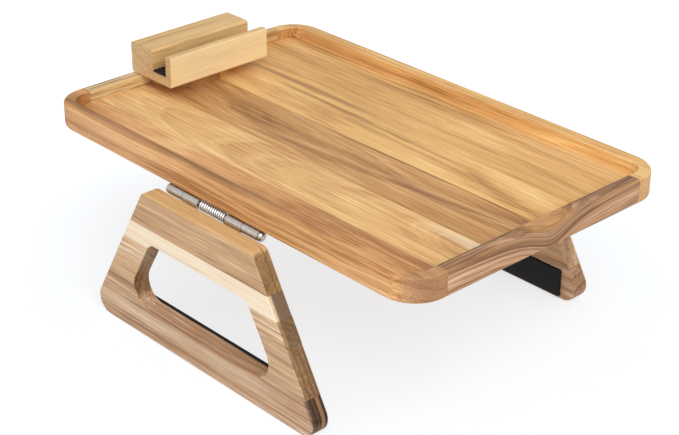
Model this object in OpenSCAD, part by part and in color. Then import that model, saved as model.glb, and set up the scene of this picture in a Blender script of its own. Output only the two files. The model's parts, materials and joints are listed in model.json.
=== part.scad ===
// Sofa arm tray: a staved wooden tray on two spring-hinged legs, with a turning phone holder.
// Millimetres. The origin is on the floor under the middle of the tray, +X runs along the
// long side away from the phone holder, and +Z is up. The front leg is on the -Y side.

/* [Tray] */
// Height from the floor to the top of the rim
height = 145; // [110:1:220]
// Length of the tray
tray_l = 390; // [300:1:520]
// Width of the tray
tray_w = 249; // [200:1:330]
// Thickness of the tray at its rim
tray_t = 19; // [15:0.5:28]
// Radius of the tray's four outer corners
tray_corner_r = 26; // [16:1:40]
// Width of the rim, which is also the width of the two end rails
rim_w = 10.6; // [8:0.1:16]
// Depth of the routed recess below the rim
recess_d = 9; // [4:0.5:11]
// Radius of the recess at its four corners
recess_corner_r = 12; // [6:0.5:24]
// Radius that eases the inner edge of the rim
rim_ease = 1.2; // [0.5:0.1:2.5]
// Distance of the end rails' ends from the tray's front and back
rail_inset = 29.5; // [26:0.5:48]
// Relative widths of the six staves, from the front edge to the back edge
stave_shares = [38.5, 44, 50, 38.5, 44.5, 33.5];
// Radius that eases the outer edges of the tray
tray_ease = 2; // [0.5:0.25:3]

/* [Holder land] */
// Radius of the half-round land, left at rim height, that carries the phone holder
land_r = 34.5; // [26:0.5:38]
// Distance of the land's centre from the tray's end
land_inset = 7.5; // [4:0.5:14]
// Distance of the land's centre from the tray's middle line
land_y = -2; // [-10:0.5:10]
// Radius that eases the land's upper edge
land_ease = 1; // [0.5:0.1:2]

/* [Legs] */
// Thickness of each leg
leg_t = 14; // [10:0.5:20]
// Length of each leg along its top
leg_top_l = 120.4; // [106:0.1:170]
// Angle of the leg's sloping sides from the floor
leg_angle = 60; // [52:1:70]
// Width of the leg's foot rail and of its two sloping sides
leg_side_w = 25; // [18:0.5:32]
// Depth of the solid wood above the window in the leg
leg_top_rail = 39.4; // [30:0.1:48]
// Radius of the leg's corners at the floor
leg_foot_r = 12; // [6:0.5:16]
// Radius of the leg's corners at the top
leg_top_r = 6; // [3:0.5:10]
// Radius of the window's corners near the foot
window_foot_r = 15; // [8:0.5:18]
// Radius of the window's corners near the top
window_top_r = 8; // [4:0.5:12]
// Clearance between the leg's top and the tray's side when the leg is swung right out
leg_swing_clear = 0.4; // [0.2:0.1:2]
// Relative widths of the five staves of a leg, from its top to its foot
leg_shares = [26.9, 15.9, 16.7, 32.1, 28.7];

/* [Grip pads] */
// Distance of the pad's ends from the leg's sloping sides
pad_inset = 7.8; // [4:0.1:30]
// Height of each pad
pad_h = 23; // [12:0.5:24]
// Thickness of each pad
pad_t = 2.5; // [1.5:0.5:5]
// Height of the pad's lower edge above the floor
pad_lift = 2.5; // [1:0.5:6]

/* [Spring hinges] */
// Distance of each hinge axis from the tray's front or back face
hinge_inset = 1.2; // [0.5:0.1:8]
// Outside diameter of the knuckles
barrel_d = 8; // [7:0.5:12]
// Thickness of the leaves
leaf_t = 1.5; // [1:0.1:2]
// Width of each leaf from the hinge axis to its free edge
leaf_w = 21; // [16:0.5:27]
// Length of each outer knuckle, on the tray leaf
outer_knuckle_l = 16.5; // [12:0.5:24]
// Length of each inner knuckle, on the leg leaf
inner_knuckle_l = 17; // [12:0.5:24]
// Length of the gap in the middle that the spring fills
spring_gap = 30; // [26:0.5:48]
// Space between neighbouring knuckles
knuckle_gap = 0.3; // [0.1:0.1:0.6]
// Clearance all round the pin in the knuckles
pin_play = 0.2; // [0.1:0.05:0.3]
// Diameter of the pin's domed heads
pin_head_d = 7; // [6:0.1:8]
// Length of each domed head
pin_head_l = 3; // [2:0.1:4]
// Clearance between the barrel and the wood beside it
barrel_clear = 0.15; // [0.1:0.05:1]
// Diameter of the spring's wire
wire_d = 1.3; // [0.8:0.1:1.4]
// Number of full coils of the spring
coils = 11; // [6:1:12]
// Clearance between the spring and the pin inside it
spring_play = 0.3; // [0.2:0.1:0.6]

/* [Screws] */
// Diameter of the wood screws' shanks
screw_d = 3.5; // [2.5:0.1:4]
// Thickness of the wood left over the tips of the screws
screw_cover = 2; // [1:0.5:4]
// Diameter of the countersunk heads
screw_head_d = 6.4; // [5:0.1:6.5]
// Distance of the two outer screws from the middle of the hinge
screw_outer_x = 39; // [30:1:44]
// Distance of the two inner screws from the middle of the hinge
screw_inner_x = 14; // [8:1:22]
// Distance of the outer screws from the hinge axis
screw_outer_reach = 10; // [9:0.5:14]
// Distance of the inner screws from the hinge axis
screw_inner_reach = 15.5; // [9:0.5:22]
// Clearance all round a screw in its hole
screw_fit = 0.05; // [0.02:0.01:0.2]

/* [Phone holder] */
// Length of the holder
holder_l = 96; // [70:1:120]
// Height of the holder
holder_h = 24.7; // [18:0.1:34]
// Thickness of the holder behind the slot
holder_back_t = 26.7; // [16:0.1:32]
// Width of the slot for the phone
slot_w = 16.5; // [11:0.5:20]
// Thickness of the lip in front of the slot
lip_t = 6.8; // [4:0.1:10]
// Thickness of the wood under the slot
slot_floor_t = 7.4; // [6:0.1:12]
// Thickness of the pad in the slot
slot_pad_t = 1.5; // [1:0.5:3]
// Clearance between the slot pad and the sides of the slot
slot_pad_fit = 0.3; // [0.1:0.1:0.8]
// Distance of the holder's back from the tray's end
holder_inset = 0.3; // [0:0.1:8]
// Distance of the pivot from the tray's middle line
pivot_y = 1; // [-10:0.5:10]
// Radius that eases the holder's long edges
holder_ease = 1.6; // [0.5:0.1:2.5]

/* [Pivot] */
// Distance of the pivot from the back of the holder
pivot_inset = 16.7; // [12:0.1:20]
// Diameter of the pivot bolt
bolt_d = 6; // [4:0.5:8]
// Clearance all round the bolt in the tray and the washers
bolt_play = 0.2; // [0.1:0.05:0.4]
// Diameter of the bolt's head
bolt_head_d = 9.6; // [8:0.1:14]
// Height of the bolt's head
bolt_head_h = 3; // [2:0.1:5]
// Width across the flats of the socket in the bolt's head
bolt_socket_w = 4; // [2.5:0.5:5]
// Depth of the head's counterbore in the underside of the tray
counterbore_depth = 6; // [4:0.5:9]
// Diameter of the counterbore
counterbore_d = 12; // [10:0.2:18]
// Diameter of the washer over the head
head_washer_d = 11.4; // [9:0.1:17]
// Thickness of the washer over the head
head_washer_t = 1.2; // [0.8:0.1:2]
// Outside diameter of the threaded insert in the holder
insert_d = 9; // [7:0.5:12]
// Length of the threaded insert
insert_l = 13; // [8:0.5:18]
// Clearance between the insert and what it touches
insert_fit = 0.05; // [0.02:0.01:0.2]
// Diameter of the washer under the holder
washer_d = 24; // [14:1:30]
// Thickness of the washer under the holder
washer_t = 0.8; // [0.5:0.1:2]
// Clearance above and below the two washers
washer_play = 0.1; // [0.05:0.05:0.3]

/* [Hidden] */
$fn = 64;
// Overlap of a cutting tool past the face that it starts from
PAST = 1;

under_z = height - tray_t;
floor_z = height - recess_d;
hinge_y = tray_w / 2 - hinge_inset;
axis_z = under_z - barrel_d / 2 - barrel_clear;
leg_top_z = axis_z - hinge_inset - leg_swing_clear;
leg_inner_y = hinge_y + barrel_d / 2 + barrel_clear;
leg_outer_y = leg_inner_y + leg_t;
notch_reach = barrel_d / 2 + 2 * barrel_clear;
holder_w = holder_back_t + slot_w + lip_t;
coil_r = barrel_d / 2 - wire_d / 2;
coil_steps = 8;
holder_z = height + washer_t + washer_play;
holder_x = -tray_l / 2 + holder_inset;
pivot_x = holder_x + pivot_inset;
pin_d = 2 * (coil_r * cos(180 / coil_steps) - wire_d / 2 - spring_play);
bore_d = pin_d + 2 * pin_play;
screw_l = tray_t - recess_d - screw_cover + leaf_t;
inner_x = spring_gap / 2;
middle_x = inner_x + inner_knuckle_l;
hinge_l = 2 * (middle_x + knuckle_gap + outer_knuckle_l);

OAK = "#d9a866";
ROSE = "#c08a63";
UMBER = "#a8754a";
CREAM = "#ecd2a4";
STEEL = "#c9ccd0";
BLACK = "#26272a";
BRASS = "#c8a24a";
TRAY_TONES = [ROSE, OAK, UMBER, OAK, OAK, "#cf9450"];

// Sum of the first n numbers of a list
function first_sum(list, n) = n <= 0 ? 0 : list[n - 1] + first_sum(list, n - 1);
// Place between 0 and 1 of the joint after the first n shares
function joint_at(shares, n) = first_sum(shares, n) / first_sum(shares, len(shares));

function unit(v) = v / norm(v);
function corner_angle(a, b, c) = acos(unit(a - b) * unit(c - b));
function fillet_reach(a, b, c, r) = r / tan(corner_angle(a, b, c) / 2);
function fillet_centre(a, b, c, r) =
    b + unit(unit(a - b) + unit(c - b)) * r / sin(corner_angle(a, b, c) / 2);

// A convex outline with each corner rounded by its own true arc
module rounded_outline(points, radii) {
    n = len(points);
    function before(i) = points[(i + n - 1) % n];
    function after(i) = points[(i + 1) % n];
    polygon([
        for (i = [0 : n - 1]) let (
            p = points[i],
            reach = fillet_reach(before(i), p, after(i), radii[i])
        ) each [p + unit(before(i) - p) * reach, p + unit(after(i) - p) * reach]
    ]);
    for (i = [0 : n - 1])
        translate(fillet_centre(before(i), points[i], after(i), radii[i])) circle(r = radii[i]);
}

// A slab with rounded corners whose edge profile is the child: the profile is drawn from the
// corner's centre outward along X, and upward along Y
module profiled_slab(l, w, r, h) {
    straight_l = l - 2 * r;
    straight_w = w - 2 * r;
    translate([-straight_l / 2, -straight_w / 2, 0]) cube([straight_l, straight_w, h]);
    for (turn = [0, 180]) rotate(turn) {
        translate([straight_l / 2, straight_w / 2, 0]) rotate([90, 0, 0])
            linear_extrude(straight_w) children();
        translate([-straight_l / 2, straight_w / 2, 0]) rotate([90, 0, 90])
            linear_extrude(straight_l) children();
        translate([straight_l / 2, straight_w / 2, 0]) rotate_extrude(angle = 90) children();
        translate([-straight_l / 2, straight_w / 2, 0]) rotate(90)
            rotate_extrude(angle = 90) children();
    }
}

// The tray's whole outline, before its recess
module tray_slab() {
    translate([0, 0, under_z]) profiled_slab(tray_l, tray_w, tray_corner_r, tray_t)
        rounded_edge_profile(tray_corner_r, tray_t, tray_ease);
}

// Half of an edge profile: square inside, and eased by a radius at its two outer corners
module rounded_edge_profile(depth, h, ease) {
    square([depth - ease, h]);
    translate([0, ease]) square([depth, h - 2 * ease]);
    translate([depth - ease, ease]) circle(r = ease);
    translate([depth - ease, h - ease]) circle(r = ease);
}

// Profile of the routed pocket, which flares at its mouth to ease the rim's inner edge
module recess_profile() {
    square([recess_corner_r, recess_d + PAST]);
    difference() {
        translate([0, recess_d - rim_ease]) square([recess_corner_r + rim_ease, rim_ease + PAST]);
        translate([recess_corner_r + rim_ease, recess_d - rim_ease]) circle(r = rim_ease);
    }
}

// The half-round land that the phone holder stands on, with its upper edge eased
module land() {
    translate([-tray_l / 2 + land_inset, land_y, floor_z]) rotate_extrude() {
        translate([0, -PAST]) square([land_r - land_ease, recess_d + 3 * PAST]);
        translate([0, -PAST]) square([land_r, recess_d - land_ease + PAST]);
        translate([land_r - land_ease, recess_d - land_ease]) intersection() {
            circle(r = land_ease);
            translate([-land_ease, -land_ease]) square(2 * land_ease);
        }
    }
}

// What the router takes out of the tray
module recess() {
    difference() {
        translate([0, 0, floor_z]) profiled_slab(
            tray_l - 2 * rim_w, tray_w - 2 * rim_w, recess_corner_r, recess_d + PAST
        ) recess_profile();
        land();
    }
}

// The routed board that the staves and the end rails make up, with its screw holes
module tray_board() {
    difference() {
        tray_slab();
        recess();
        translate([pivot_x, pivot_y, under_z - PAST]) {
            cylinder(d = bolt_d + 2 * bolt_play, h = tray_t + 2 * PAST);
            cylinder(d = counterbore_d, h = counterbore_depth + PAST);
        }
        for (side = [-1, 1]) at_side(side) tray_screw_places() screw_hole();
    }
}

// The space of one end rail
module end_rail_space(side) {
    rail_l = tray_w - 2 * rail_inset;
    translate([side > 0 ? tray_l / 2 - rim_w : -tray_l / 2 - PAST, -rail_l / 2, under_z - PAST])
        cube([rim_w + PAST, rail_l, tray_t + 2 * PAST]);
}

// One stave of the tray, counted from the front
module tray_stave(index) {
    from = -tray_w / 2 + tray_w * joint_at(stave_shares, index);
    to = -tray_w / 2 + tray_w * joint_at(stave_shares, index + 1);
    low = index == 0 ? from - PAST : from;
    high = index == len(stave_shares) - 1 ? to + PAST : to;
    color(TRAY_TONES[index]) difference() {
        intersection() {
            tray_board();
            translate([-tray_l, low, under_z - PAST])
                cube([2 * tray_l, high - low, tray_t + 2 * PAST]);
        }
        end_rail_space(-1);
        end_rail_space(1);
    }
}

module end_rail(side) {
    color(UMBER) intersection() {
        tray_board();
        end_rail_space(side);
    }
}

// Puts a front piece at the front, or its mirror image at the back
module at_side(side) {
    if (side < 0) {
        children();
    } else {
        mirror([0, 1, 0]) children();
    }
}

// Half of the leg's length at a height above the floor
function leg_half(z) = leg_top_l / 2 + (leg_top_z - z) / tan(leg_angle);
// Half of the window's length at a height above the floor
function window_half(z) = leg_half(z) - leg_side_w / sin(leg_angle);

// The front leg before it is parted into staves
module leg_board() {
    window_top_z = leg_top_z - leg_top_rail;
    translate([0, -leg_inner_y, 0]) rotate([90, 0, 0]) difference() {
        linear_extrude(leg_t) rounded_outline(
            [
                [-leg_half(0), 0],
                [leg_half(0), 0],
                [leg_half(leg_top_z), leg_top_z],
                [-leg_half(leg_top_z), leg_top_z]
            ],
            [leg_foot_r, leg_foot_r, leg_top_r, leg_top_r]
        );
        translate([0, 0, -PAST]) linear_extrude(leg_t + 2 * PAST) rounded_outline(
            [
                [-window_half(leg_side_w), leg_side_w],
                [window_half(leg_side_w), leg_side_w],
                [window_half(window_top_z), window_top_z],
                [-window_half(window_top_z), window_top_z]
            ],
            [window_foot_r, window_foot_r, window_top_r, window_top_r]
        );
    }
}

// One stave of the front leg, counted from the top; side keeps one half of it, and 0 all
module leg_stave(index, side) {
    from = leg_top_z * (1 - joint_at(leg_shares, index + 1));
    to = leg_top_z * (1 - joint_at(leg_shares, index));
    low = index == len(leg_shares) - 1 ? from - PAST : from;
    high = index == 0 ? to + PAST : to;
    reach = leg_half(0) + PAST;
    difference() {
        intersection() {
            leg_board();
            translate([side > 0 ? 0 : -reach, -leg_outer_y - PAST, low])
                cube([side == 0 ? 2 * reach : reach, leg_t + 2 * PAST, high - low]);
        }
        leg_screw_places() screw_hole();
    }
}

module leg_part(end, index, side, tone) {
    color(tone) at_side(end) leg_stave(index, side);
}

module grip_pad(end) {
    pad_l = 2 * (leg_half(pad_lift + pad_h) - pad_inset);
    color(BLACK) at_side(end)
        translate([-pad_l / 2, -leg_inner_y, pad_lift]) cube([pad_l, pad_t, pad_h]);
}

// Screw places are on the leaf's outer face, where it meets the wood, with +Z into the wood
module screw_places() {
    for (side = [-1, 1]) {
        translate([side * screw_outer_x, screw_outer_reach, 0]) children();
        translate([side * screw_inner_x, screw_inner_reach, 0]) children();
    }
}

module tray_screw_places() {
    translate([0, -hinge_y, under_z]) screw_places() children();
}

module leg_screw_places() {
    translate([0, -leg_inner_y, axis_z]) rotate([90, 0, 0]) mirror([0, 1, 0])
        screw_places() children();
}

// The hole that a screw needs in the wood
module screw_hole() {
    hole_l = screw_l - leaf_t + screw_fit;
    translate([0, 0, -PAST]) cylinder(d = screw_d + 2 * screw_fit, h = hole_l + PAST);
}

// A countersunk wood screw whose head is flush with the leaf's free face
module wood_screw() {
    head_h = (screw_head_d - screw_d) / 2;
    tip_h = screw_d / 2;
    translate([0, 0, -leaf_t]) rotate_extrude() polygon([
        [0, 0],
        [screw_head_d / 2, 0],
        [screw_d / 2, head_h],
        [screw_d / 2, screw_l - tip_h],
        [0, screw_l]
    ]);
}

module tray_screws(end) {
    color(STEEL) at_side(end) tray_screw_places() wood_screw();
}

module leg_screws(end) {
    color(STEEL) at_side(end) leg_screw_places() wood_screw();
}

// A leaf drawn flat, with the hinge axis along X, its wood face at y = seat, and its free
// edge towards -Z; spans lists where its knuckles begin and end
module hinge_leaf(spans) {
    seat = barrel_d / 2 + barrel_clear;
    difference() {
        union() {
            translate([-hinge_l / 2, seat - leaf_t, -leaf_w])
                cube([hinge_l, leaf_t, leaf_w - notch_reach]);
            for (span = spans) {
                translate([span[0], seat - leaf_t, -leaf_w + PAST])
                    cube([span[1] - span[0], leaf_t, leaf_w - PAST]);
                translate([span[0], 0, 0]) rotate([0, 90, 0])
                    cylinder(d = barrel_d, h = span[1] - span[0]);
            }
        }
        translate([-hinge_l, 0, 0]) rotate([0, 90, 0]) cylinder(d = bore_d, h = 2 * hinge_l);
        translate([0, seat, 0]) rotate([-90, 0, 0]) screw_places() countersink();
    }
}

// The countersunk hole in a leaf, seen from its wood face
module countersink() {
    head_h = (screw_head_d - screw_d) / 2;
    fit = 2 * screw_fit;
    translate([0, 0, -leaf_t - PAST]) cylinder(d = screw_d + fit, h = leaf_t + 2 * PAST);
    translate([0, 0, -leaf_t]) cylinder(d1 = screw_head_d + fit, d2 = screw_d + fit, h = head_h);
    translate([0, 0, -leaf_t - PAST]) cylinder(d = screw_head_d + fit, h = PAST);
}

module tray_leaf(end) {
    from = middle_x + knuckle_gap;
    color(STEEL) at_side(end) translate([0, -hinge_y, axis_z]) rotate([90, 0, 0])
        hinge_leaf([[-hinge_l / 2, -from], [from, hinge_l / 2]]);
}

module leg_leaf(end) {
    color(STEEL) at_side(end) translate([0, -hinge_y, axis_z]) rotate([0, 0, 180])
        hinge_leaf([[-middle_x, -inner_x], [inner_x, middle_x]]);
}

// The pin with a domed head at each end
module hinge_pin(end) {
    dome_r = pin_head_d / 2;
    flat_l = pin_head_l - dome_r / 2;
    color(STEEL) at_side(end) translate([0, -hinge_y, axis_z]) rotate([0, 90, 0]) {
        translate([0, 0, -hinge_l / 2 - PAST / 2]) cylinder(d = pin_d, h = hinge_l + PAST);
        for (turn = [0, 180]) rotate([turn, 0, 0]) translate([0, 0, hinge_l / 2 + knuckle_gap])
            intersection() {
                cylinder(r = dome_r, h = pin_head_l);
                translate([0, 0, flat_l - dome_r * 0.75]) sphere(r = dome_r * 1.25);
            }
    }
}

// Spring: one round wire, wound on a helix round the pin, whose straight ends bear on the two
// leaves
end_lean = 27;
end_l = 5.5;
wire_sides = 6;
coil_sweep = 360 * coils + 90 + 2 * end_lean;
coil_span = spring_gap - 3.4 * wire_d;
coil_rings = ceil(coil_sweep / 360 * coil_steps);

// Place on the helix at a share of its sweep, with the hinge axis as X
function coil_turn(share) = 90 - end_lean + coil_sweep * share;
function coil_point(share) = [
    coil_span * (share - 0.5),
    coil_r * cos(coil_turn(share)),
    coil_r * sin(coil_turn(share))
];
// Direction of the wire there, from the slope of the helix
function coil_heading(share) = unit([
    coil_span / (coil_r * coil_sweep * PI / 180),
    -sin(coil_turn(share)),
    cos(coil_turn(share))
]);
// One ring of the wire round a point of its middle line
function wire_ring(middle, share) = let (
    out = [0, cos(coil_turn(share)), sin(coil_turn(share))],
    along = cross(coil_heading(share), out)
) [
    for (k = [0 : wire_sides - 1]) middle
        + wire_d / 2 * (out * cos(360 * k / wire_sides) + along * sin(360 * k / wire_sides))
];
spring_line = [
    coil_point(0) - coil_heading(0) * end_l,
    for (i = [0 : coil_rings]) coil_point(i / coil_rings),
    coil_point(1) + coil_heading(1) * end_l
];
spring_shares = [0, for (i = [0 : coil_rings]) i / coil_rings, 1];
spring_points = [
    for (i = [0 : len(spring_line) - 1]) each wire_ring(spring_line[i], spring_shares[i])
];
spring_faces = let (rings = len(spring_line), n = wire_sides) [
    for (i = [0 : rings - 2], k = [0 : n - 1]) let (
        a = i * n + k,
        b = i * n + (k + 1) % n
    ) each [[a, b, b + n], [a, b + n, a + n]],
    for (k = [1 : n - 2]) each [
        [0, k + 1, k],
        [(rings - 1) * n, (rings - 1) * n + k, (rings - 1) * n + k + 1]
    ]
];
// Least space between two stretches of the wire that lie at least half a coil apart
spring_gap_least = min([
    for (i = [0 : len(spring_line) - 1], j = [i + coil_steps / 2 : len(spring_line) - 1])
        norm(spring_line[i] - spring_line[j])
]) - wire_d;
echo(spring_least_gap_mm = spring_gap_least);

module hinge_spring(end) {
    color("#dfe1e4") at_side(end) translate([0, -hinge_y, axis_z])
        polyhedron(points = spring_points, faces = spring_faces);
}

// A rectangle with its four corners rounded
module eased_rect(w, h, r) {
    rounded_outline([[0, 0], [w, 0], [w, h], [0, h]], [r, r, r, r]);
}

// Section of the phone holder, drawn from its back to its lip
module holder_section() {
    ease = holder_ease;
    eased_rect(holder_back_t, holder_h, ease);
    translate([holder_back_t + slot_w, 0]) eased_rect(lip_t, holder_h, ease);
    translate([holder_back_t / 2, 0]) square([slot_w + holder_back_t / 2 + lip_t / 2, slot_floor_t]);
}

module phone_holder_block() {
    color("#dfb27a") difference() {
        translate([holder_x, pivot_y + holder_l / 2, holder_z]) rotate([90, 0, 0])
            linear_extrude(holder_l) holder_section();
        translate([pivot_x, pivot_y, holder_z - PAST])
            cylinder(d = insert_d + 2 * insert_fit, h = insert_l + insert_fit + PAST);
    }
}

module phone_slot_pad() {
    slot_x = holder_x + holder_back_t;
    color(BLACK) translate([slot_x + slot_pad_fit, pivot_y - holder_l / 2, holder_z + slot_floor_t])
        cube([slot_w - 2 * slot_pad_fit, holder_l, slot_pad_t]);
}

// Height of the seat of the head's washer in the counterbore
function head_seat_z() = under_z + counterbore_depth;

// Cap-head bolt that turns with the holder; its head hangs under a washer in the tray
module pivot_bolt() {
    head_top_z = head_seat_z() - head_washer_t - 2 * washer_play;
    tip_z = holder_z + insert_l - PAST;
    color(STEEL) translate([pivot_x, pivot_y, 0]) {
        translate([0, 0, head_top_z - PAST]) cylinder(d = bolt_d, h = tip_z - head_top_z + PAST);
        difference() {
            translate([0, 0, head_top_z - bolt_head_h]) cylinder(d = bolt_head_d, h = bolt_head_h);
            translate([0, 0, head_top_z - bolt_head_h - PAST])
                cylinder(d = bolt_socket_w / cos(30), h = bolt_head_h, $fn = 6);
        }
    }
}

module ring(outer_d, inner_d, h) {
    difference() {
        cylinder(d = outer_d, h = h);
        translate([0, 0, -PAST]) cylinder(d = inner_d, h = h + 2 * PAST);
    }
}

module pivot_washer() {
    color(BLACK) translate([pivot_x, pivot_y, height]) ring(washer_d, bolt_d + 2 * bolt_play, washer_t);
}

module pivot_head_washer() {
    color(STEEL) translate([pivot_x, pivot_y, head_seat_z() - head_washer_t])
        ring(head_washer_d, bolt_d + 2 * bolt_play, head_washer_t);
}

module pivot_insert() {
    color(BRASS) translate([pivot_x, pivot_y, holder_z])
        ring(insert_d, bolt_d + 2 * insert_fit, insert_l);
}

tray_stave(0);  // tray_stave_1
tray_stave(1);  // tray_stave_2
tray_stave(2);  // tray_stave_3
tray_stave(3);  // tray_stave_4
tray_stave(4);  // tray_stave_5
tray_stave(5);  // tray_stave_6
end_rail(-1);  // left_end_rail
end_rail(1);  // right_end_rail
leg_part(-1, 0, 0, ROSE);  // front_leg_top_stave
leg_part(-1, 1, 0, CREAM);  // front_leg_shoulder_stave
leg_part(-1, 2, -1, OAK);  // front_leg_upper_left
leg_part(-1, 2, 1, OAK);  // front_leg_upper_right
leg_part(-1, 3, -1, UMBER);  // front_leg_lower_left
leg_part(-1, 3, 1, OAK);  // front_leg_lower_right
leg_part(-1, 4, 0, ROSE);  // front_leg_foot_stave
grip_pad(-1);  // front_grip_pad
leg_part(1, 0, 0, OAK);  // back_leg_top_stave
leg_part(1, 1, 0, CREAM);  // back_leg_shoulder_stave
leg_part(1, 2, -1, OAK);  // back_leg_upper_left
leg_part(1, 2, 1, CREAM);  // back_leg_upper_right
leg_part(1, 3, -1, UMBER);  // back_leg_lower_left
leg_part(1, 3, 1, OAK);  // back_leg_lower_right
leg_part(1, 4, 0, UMBER);  // back_leg_foot_stave
grip_pad(1);  // back_grip_pad
tray_leaf(-1);  // front_hinge_tray_leaf
leg_leaf(-1);  // front_hinge_leg_leaf
hinge_pin(-1);  // front_hinge_pin
hinge_spring(-1);  // front_hinge_spring
tray_screws(-1);  // front_tray_screws
leg_screws(-1);  // front_leg_screws
tray_leaf(1);  // back_hinge_tray_leaf
leg_leaf(1);  // back_hinge_leg_leaf
hinge_pin(1);  // back_hinge_pin
hinge_spring(1);  // back_hinge_spring
tray_screws(1);  // back_tray_screws
leg_screws(1);  // back_leg_screws
phone_holder_block();
phone_slot_pad();
pivot_bolt();
pivot_head_washer();
pivot_washer();
pivot_insert();
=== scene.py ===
"""Looks of a sofa arm tray: a staved wooden tray on two spring-hinged legs, with a phone holder.

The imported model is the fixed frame. The timber stays as it was cut there and gets a solid timber
finish, which runs through each board, so that face grain, edge grain and end grain meet at its
edges. The legs' boards are copies of the frame's with eased edges. The springs, screws and soft
pads are surfaces worked out here. Sizes are in millimetres until a piece is made, in the frame's
axes: +X along the tray, +Y from the front leg to the back leg, +Z up.
"""

from __future__ import annotations

import json
import logging
import math
from dataclasses import dataclass, replace
from enum import Enum
from typing import Any, Sequence

import bmesh
import bpy
import numpy as np
from mathutils import Matrix, Vector

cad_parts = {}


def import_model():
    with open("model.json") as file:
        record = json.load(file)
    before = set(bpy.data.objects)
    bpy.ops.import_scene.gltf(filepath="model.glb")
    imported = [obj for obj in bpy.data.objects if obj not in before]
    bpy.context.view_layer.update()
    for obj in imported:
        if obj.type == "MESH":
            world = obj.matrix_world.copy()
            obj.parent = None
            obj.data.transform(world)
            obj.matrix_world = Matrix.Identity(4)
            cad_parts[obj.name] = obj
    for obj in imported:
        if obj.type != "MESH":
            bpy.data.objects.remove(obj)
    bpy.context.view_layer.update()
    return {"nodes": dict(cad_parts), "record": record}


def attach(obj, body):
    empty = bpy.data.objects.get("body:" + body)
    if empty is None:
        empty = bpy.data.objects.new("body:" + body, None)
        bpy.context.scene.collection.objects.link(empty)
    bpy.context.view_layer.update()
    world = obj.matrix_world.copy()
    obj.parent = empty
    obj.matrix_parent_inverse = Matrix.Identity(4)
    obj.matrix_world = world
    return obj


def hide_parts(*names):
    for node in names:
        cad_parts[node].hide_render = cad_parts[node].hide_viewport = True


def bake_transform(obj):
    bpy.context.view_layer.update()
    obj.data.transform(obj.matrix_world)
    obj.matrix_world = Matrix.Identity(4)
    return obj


LOG = logging.getLogger("sofa_arm_tray")
MM = 0.001

Colour = tuple[float, float, float]
Point = tuple[float, float, float]
Socket = bpy.types.NodeSocket
Node = bpy.types.Node
Material = bpy.types.Material
Piece = bpy.types.Object

# Places that more than one class needs

ORIGIN = (0.0, 0.0, 0.0)
X_ALONG = (1.0, 0.0, 0.0)
Y_ALONG = (0.0, 1.0, 0.0)
UP = (0.0, 0.0, 1.0)
TRAY_JOINTS = (-124.5, -86.0, -42.0, 8.0, 46.5, 91.0, 124.5)
RAIL_HALF_L = 95.0
UNDER_Z = 126.0
LEG_JOINTS = (120.25, 93.36, 77.47, 60.78, 28.7, 0.0)
LEG_MIDDLE_Y = 134.0
LEG_INNER_Y = 127.45
LEG_SLOPE = (0.866, 0.0, 0.5)
HINGE_Y = 123.3
HINGE_Z = 121.85
SCREW_PLACES = ((-39.0, 10.0), (-14.0, 15.5), (14.0, 15.5), (39.0, 10.0))
OUT_OF_SIGHT = 9.0


class Grain(Enum):
    """Way that a board's grain runs, as the turn about the vertical that brings it on to X."""

    ALONG_TRAY = 0.0
    ACROSS_TRAY = -90.0


class Side(Enum):
    """Side of the tray that a leg and its hinge are on, with the sign of Y there."""

    FRONT = -1
    BACK = 1

    @property
    def label(self) -> str:
        """Name of the side as the frame's nodes spell it."""
        return self.name.lower()


def srgb(red: int, green: int, blue: int) -> Colour:
    """A colour as a paint chart has it, from 0 to 255, turned into the light it sends back."""
    parts = [part / 255.0 for part in (red, green, blue)]
    return tuple(p / 12.92 if p <= 0.04045 else ((p + 0.055) / 1.055) ** 2.4 for p in parts)


# Node trees


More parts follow.
